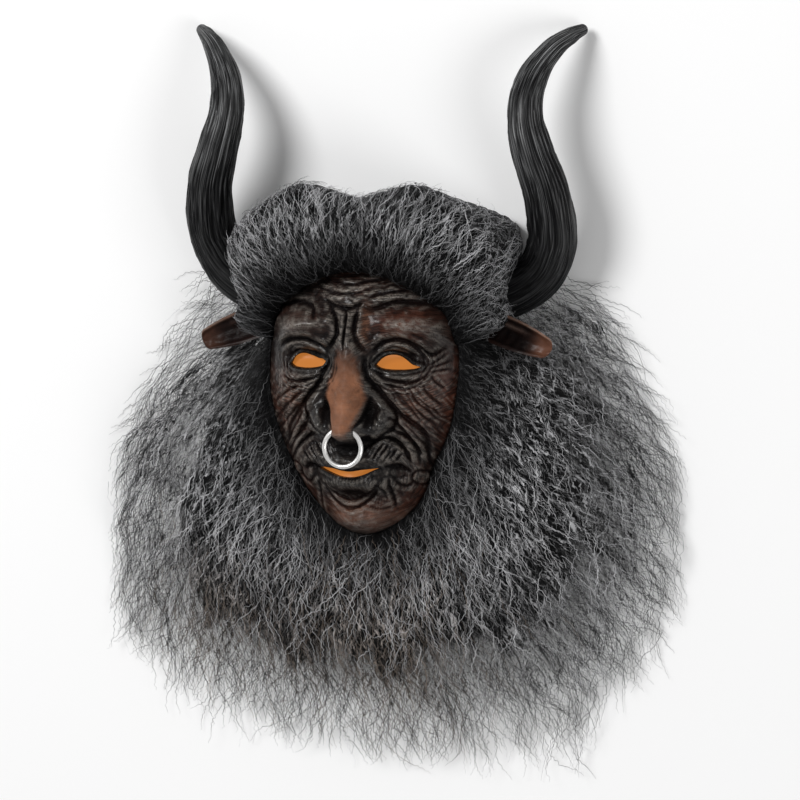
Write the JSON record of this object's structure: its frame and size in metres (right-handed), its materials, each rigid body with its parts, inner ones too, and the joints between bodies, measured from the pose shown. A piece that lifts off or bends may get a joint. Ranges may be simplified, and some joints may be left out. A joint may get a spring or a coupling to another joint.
{
  "type": "horned demon mask with hair",
  "caption": "Hollow open-backed demon face mask with horns, drooping ears, a nose ring and a full mane, lying face up.",
  "frame": {"origin": "middle of the whole mask's outline, in the plane that the mask lies on", "axes": "+Z out of the face and away from the surface it lies on, +Y from chin to crown, +X to the right as one looks at the face"},
  "size_m": [0.476, 0.6084, 0.1689],
  "materials": {
    "moulded_skin": "painted brown and black latex, satin",
    "black_horn": "painted black, grooved, satin",
    "silver_ring": "polished",
    "orange_film": "matte tinted film",
    "grey_hair": "crimped black and grey synthetic hair"
  },
  "bodies": {
    "root": {"face_shell": "moulded_skin", "ear_left": "moulded_skin", "ear_right": "moulded_skin", "horn_left": "black_horn", "horn_right": "black_horn", "nose_ring": "silver_ring", "eye_film_left": "orange_film", "eye_film_right": "orange_film", "mouth_film": "orange_film", "crown_hair": "grey_hair", "side_hair_left": "grey_hair", "side_hair_right": "grey_hair", "beard": "grey_hair"}
  },
  "joints": []
}
